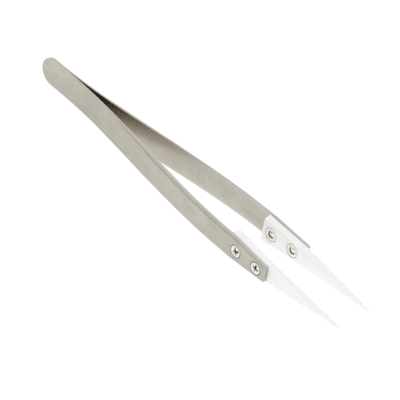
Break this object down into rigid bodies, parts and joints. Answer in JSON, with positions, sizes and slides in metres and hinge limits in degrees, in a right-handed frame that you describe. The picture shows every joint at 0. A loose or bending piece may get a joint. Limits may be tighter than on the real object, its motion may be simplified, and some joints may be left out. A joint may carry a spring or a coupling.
{
  "type": "precision tweezers",
  "caption": "Precision tweezers: two bowed, spot-welded spring-steel leaves that carry screwed-on, finely pointed ceramic tips, for gripping small or hot parts.",
  "frame": {"origin": "midway along the tweezers, on the middle plane between the arms, at the level of the lower edges", "axes": "+X from the welded rear end to the tip points, +Y towards the left arm, +Z along the width of the leaves"},
  "size_m": [0.13, 0.0172, 0.0088],
  "materials": {
    "leaf_steel": "fine lengthwise brushed stainless steel",
    "ceramic": "matt white sintered zirconia",
    "screw_steel": "bright turned stainless steel",
    "insert_steel": "bright turned stainless steel",
    "weld_steel": "fused steel, hidden between the leaves"
  },
  "bodies": {
    "weld": {"rear_weld": "weld_steel", "front_weld": "weld_steel"},
    "left_arm": {"left_leaf": "leaf_steel", "left_ceramic_tip": "ceramic", "left_rear_screw": "screw_steel", "left_front_screw": "screw_steel", "left_rear_insert": "insert_steel", "left_front_insert": "insert_steel"},
    "right_arm": {"right_leaf": "leaf_steel", "right_ceramic_tip": "ceramic", "right_rear_screw": "screw_steel", "right_front_screw": "screw_steel", "right_rear_insert": "insert_steel", "right_front_insert": "insert_steel"}
  },
  "joints": [
    {"name": "left_flex", "type": "hinge", "parent": "weld", "child": "left_arm", "pos_m": [-0.051, 0, 0.0044], "axis": [0, 0, -1], "range_deg": [0, 2.6], "stiffness_Nm_per_rad": 0.9},
    {"name": "right_flex", "type": "hinge", "parent": "weld", "child": "right_arm", "pos_m": [-0.051, 0, 0.0044], "axis": [0, 0, 1], "range_deg": [0, 2.6], "stiffness_Nm_per_rad": 0.9}
  ],
  "couplings": [
    {"joint": "right_flex", "follows": "left_flex", "ratio": 1}
  ]
}
